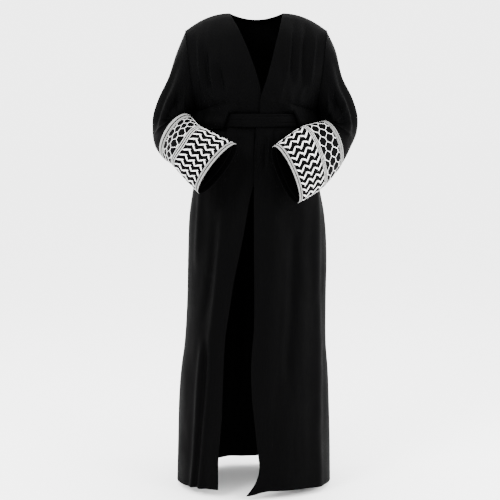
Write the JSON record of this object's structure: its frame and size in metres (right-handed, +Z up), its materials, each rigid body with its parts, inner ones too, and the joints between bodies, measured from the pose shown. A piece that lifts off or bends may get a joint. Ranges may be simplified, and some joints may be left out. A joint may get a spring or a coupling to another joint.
{
  "type": "open-front abaya",
  "caption": "Long black open-front abaya in its worn form, with wide bent sleeves, keffiyeh-patterned forearm panels and a soft sash.",
  "frame": {"origin": "base of the neck, level with the top of the shoulder seams, midway between them, where the wearer's shoulders hold the garment", "axes": "+Z up along the wearer, -Y the way the wearer faces, +X to the wearer's left"},
  "size_m": [0.5998, 0.4014, 1.405],
  "materials": {
    "crepe": "matt black crepe",
    "sash_crepe": "matt black crepe, creased along the sash",
    "keffiyeh_embroidery": "white and grey thread on black crepe",
    "border_stitching": "dense white and grey stitching"
  },
  "bodies": {
    "root": {"bodice_back": "crepe", "bodice_right": "crepe", "bodice_left": "crepe", "skirt_back": "crepe", "skirt_right": "crepe", "skirt_left": "crepe", "sleeve_right": "crepe", "sleeve_left": "crepe", "sleeve_band_right": "keffiyeh_embroidery", "sleeve_band_left": "keffiyeh_embroidery", "cuff_border_right": "border_stitching", "cuff_border_left": "border_stitching", "belt": "sash_crepe"}
  },
  "joints": []
}
